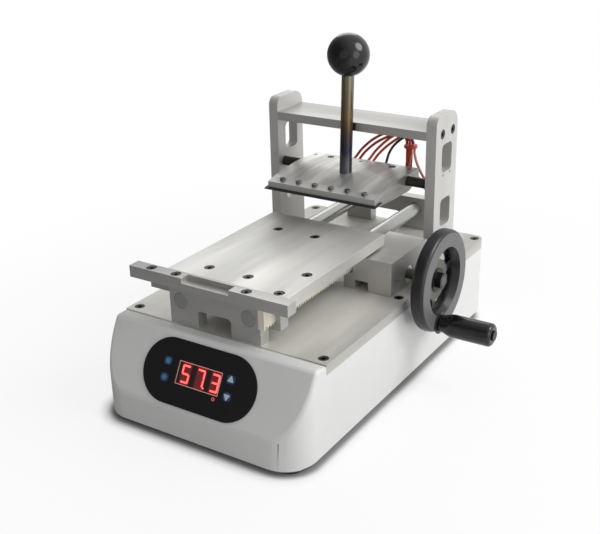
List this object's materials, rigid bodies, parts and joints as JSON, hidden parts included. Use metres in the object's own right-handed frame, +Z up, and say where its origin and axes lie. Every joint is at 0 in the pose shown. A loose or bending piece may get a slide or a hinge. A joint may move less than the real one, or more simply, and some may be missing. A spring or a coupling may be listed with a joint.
{
  "type": "sliding-table glue remover with heated blade",
  "caption": "Bench machine with a heated blade on a tilting head above a table that a handwheel slides on two guide rods",
  "frame": {"origin": "on the surface the feet stand on, under the middle of the base", "axes": "+Y from the sloping control panel at the front to the power inlet at the back, +X to the operator's right where the handwheel is, +Z up"},
  "size_m": [0.2388, 0.3065, 0.2532],
  "materials": {
    "white_paint": "smooth satin white paint",
    "sheet_steel": "plain sheet",
    "black_rubber": "matt rubber",
    "dark_screw": "blackened socket screw",
    "aluminium": "fine brushed",
    "black_gloss": "glossy black",
    "display_red": "smoked red window over lit segments",
    "board_green": "circuit board",
    "bright_steel": "ground bright",
    "black_matte": "moulded",
    "button_blue": "soft blue keys with plain marks",
    "bush_brass": "turned",
    "dark_steel": "dark ground steel",
    "tinted_steel": "ground steel tinted by heat from blue at the foot to straw",
    "wire_red": "silicone insulation",
    "wire_orange": "silicone insulation",
    "wire_black": "insulation",
    "wire_pink": "insulation",
    "tie_red": "nylon"
  },
  "bodies": {
    "base": {"base_casing": "white_paint", "bottom_cover": "sheet_steel", "rubber_feet": "black_rubber", "cover_screws": "dark_screw", "top_plate": "aluminium", "plate_screws": "dark_screw", "control_panel": "black_gloss", "display_module": "display_red", "circuit_board": "board_green", "board_posts": "bright_steel", "key_switches": "black_matte", "power_inlet": "black_matte", "inlet_pins": "bright_steel", "switch_housing": "black_matte", "front_end_block": "aluminium", "rear_end_block": "aluminium", "guide_rods": "bright_steel", "pinion_block": "aluminium", "shaft_bearings": "bright_steel", "left_upright": "aluminium", "right_upright": "aluminium", "crossbar": "aluminium", "crossbar_screws": "dark_screw", "lever_stop": "black_rubber", "pivot_pins": "dark_steel", "red_wires": "wire_red", "orange_wires": "wire_orange", "black_wire": "wire_black", "pink_wire": "wire_pink", "wire_bundle": "wire_orange", "cable_tie": "tie_red", "wire_grommet": "black_rubber"},
    "table": {"guide_bushes": "bush_brass", "front_cross_member": "aluminium", "rear_cross_member": "aluminium", "table_plate": "aluminium", "front_bar": "aluminium", "table_screws": "dark_screw", "rack": "bright_steel"},
    "wheel": {"pinion": "bright_steel", "wheel_shaft": "bright_steel", "handwheel": "black_gloss", "wheel_nut": "dark_screw", "grip_spindle": "bright_steel"},
    "grip": {"crank_grip": "black_gloss"},
    "head": {"blade_head": "aluminium", "blade_clamp_bar": "aluminium", "blade": "dark_steel", "blade_screws": "bright_steel", "head_heaters": "bright_steel", "head_sensor": "bright_steel", "lever_rod": "tinted_steel", "lever_ball": "black_gloss"},
    "rocker": {"switch_rocker": "black_gloss"},
    "button_upper_left_key": {"button_upper_left": "button_blue"},
    "button_lower_left_key": {"button_lower_left": "button_blue"},
    "button_upper_right_key": {"button_upper_right": "button_blue"},
    "button_lower_right_key": {"button_lower_right": "button_blue"}
  },
  "joints": [
    {"name": "table_slide", "type": "slide", "parent": "base", "child": "table", "axis": [0, 1, 0], "range_m": [0, 0.09]},
    {"name": "wheel_turn", "type": "hinge", "parent": "base", "child": "wheel", "pos_m": [0.1, 0.03, 0.0796], "axis": [1, 0, 0], "range_deg": [-737, 0]},
    {"name": "grip_spin", "type": "hinge", "parent": "wheel", "child": "grip", "pos_m": [0.12, 0.0215, 0.04854], "axis": [1, 0, 0], "continuous": true},
    {"name": "head_tilt", "type": "hinge", "parent": "base", "child": "head", "pos_m": [0, 0.0765, 0.1375], "axis": [1, 0, 0], "range_deg": [0, 22]},
    {"name": "switch_rock", "type": "hinge", "parent": "base", "child": "rocker", "pos_m": [-0.012, 0.1505, 0.034], "axis": [1, 0, 0], "range_deg": [-16, 0]},
    {"name": "button_upper_left_press", "type": "slide", "parent": "base", "child": "button_upper_left_key", "axis": [0, 0.8704, -0.4924], "range_m": [0, 0.0005], "stiffness_N_per_m": 300, "springref_m": -0.001},
    {"name": "button_lower_left_press", "type": "slide", "parent": "base", "child": "button_lower_left_key", "axis": [0, 0.8704, -0.4924], "range_m": [0, 0.0005], "stiffness_N_per_m": 300, "springref_m": -0.001},
    {"name": "button_upper_right_press", "type": "slide", "parent": "base", "child": "button_upper_right_key", "axis": [0, 0.8704, -0.4924], "range_m": [0, 0.0005], "stiffness_N_per_m": 300, "springref_m": -0.001},
    {"name": "button_lower_right_press", "type": "slide", "parent": "base", "child": "button_lower_right_key", "axis": [0, 0.8704, -0.4924], "range_m": [0, 0.0005], "stiffness_N_per_m": 300, "springref_m": -0.001}
  ],
  "couplings": [
    {"joint": "wheel_turn", "follows": "table_slide", "rad_per_m": -142.86}
  ]
}
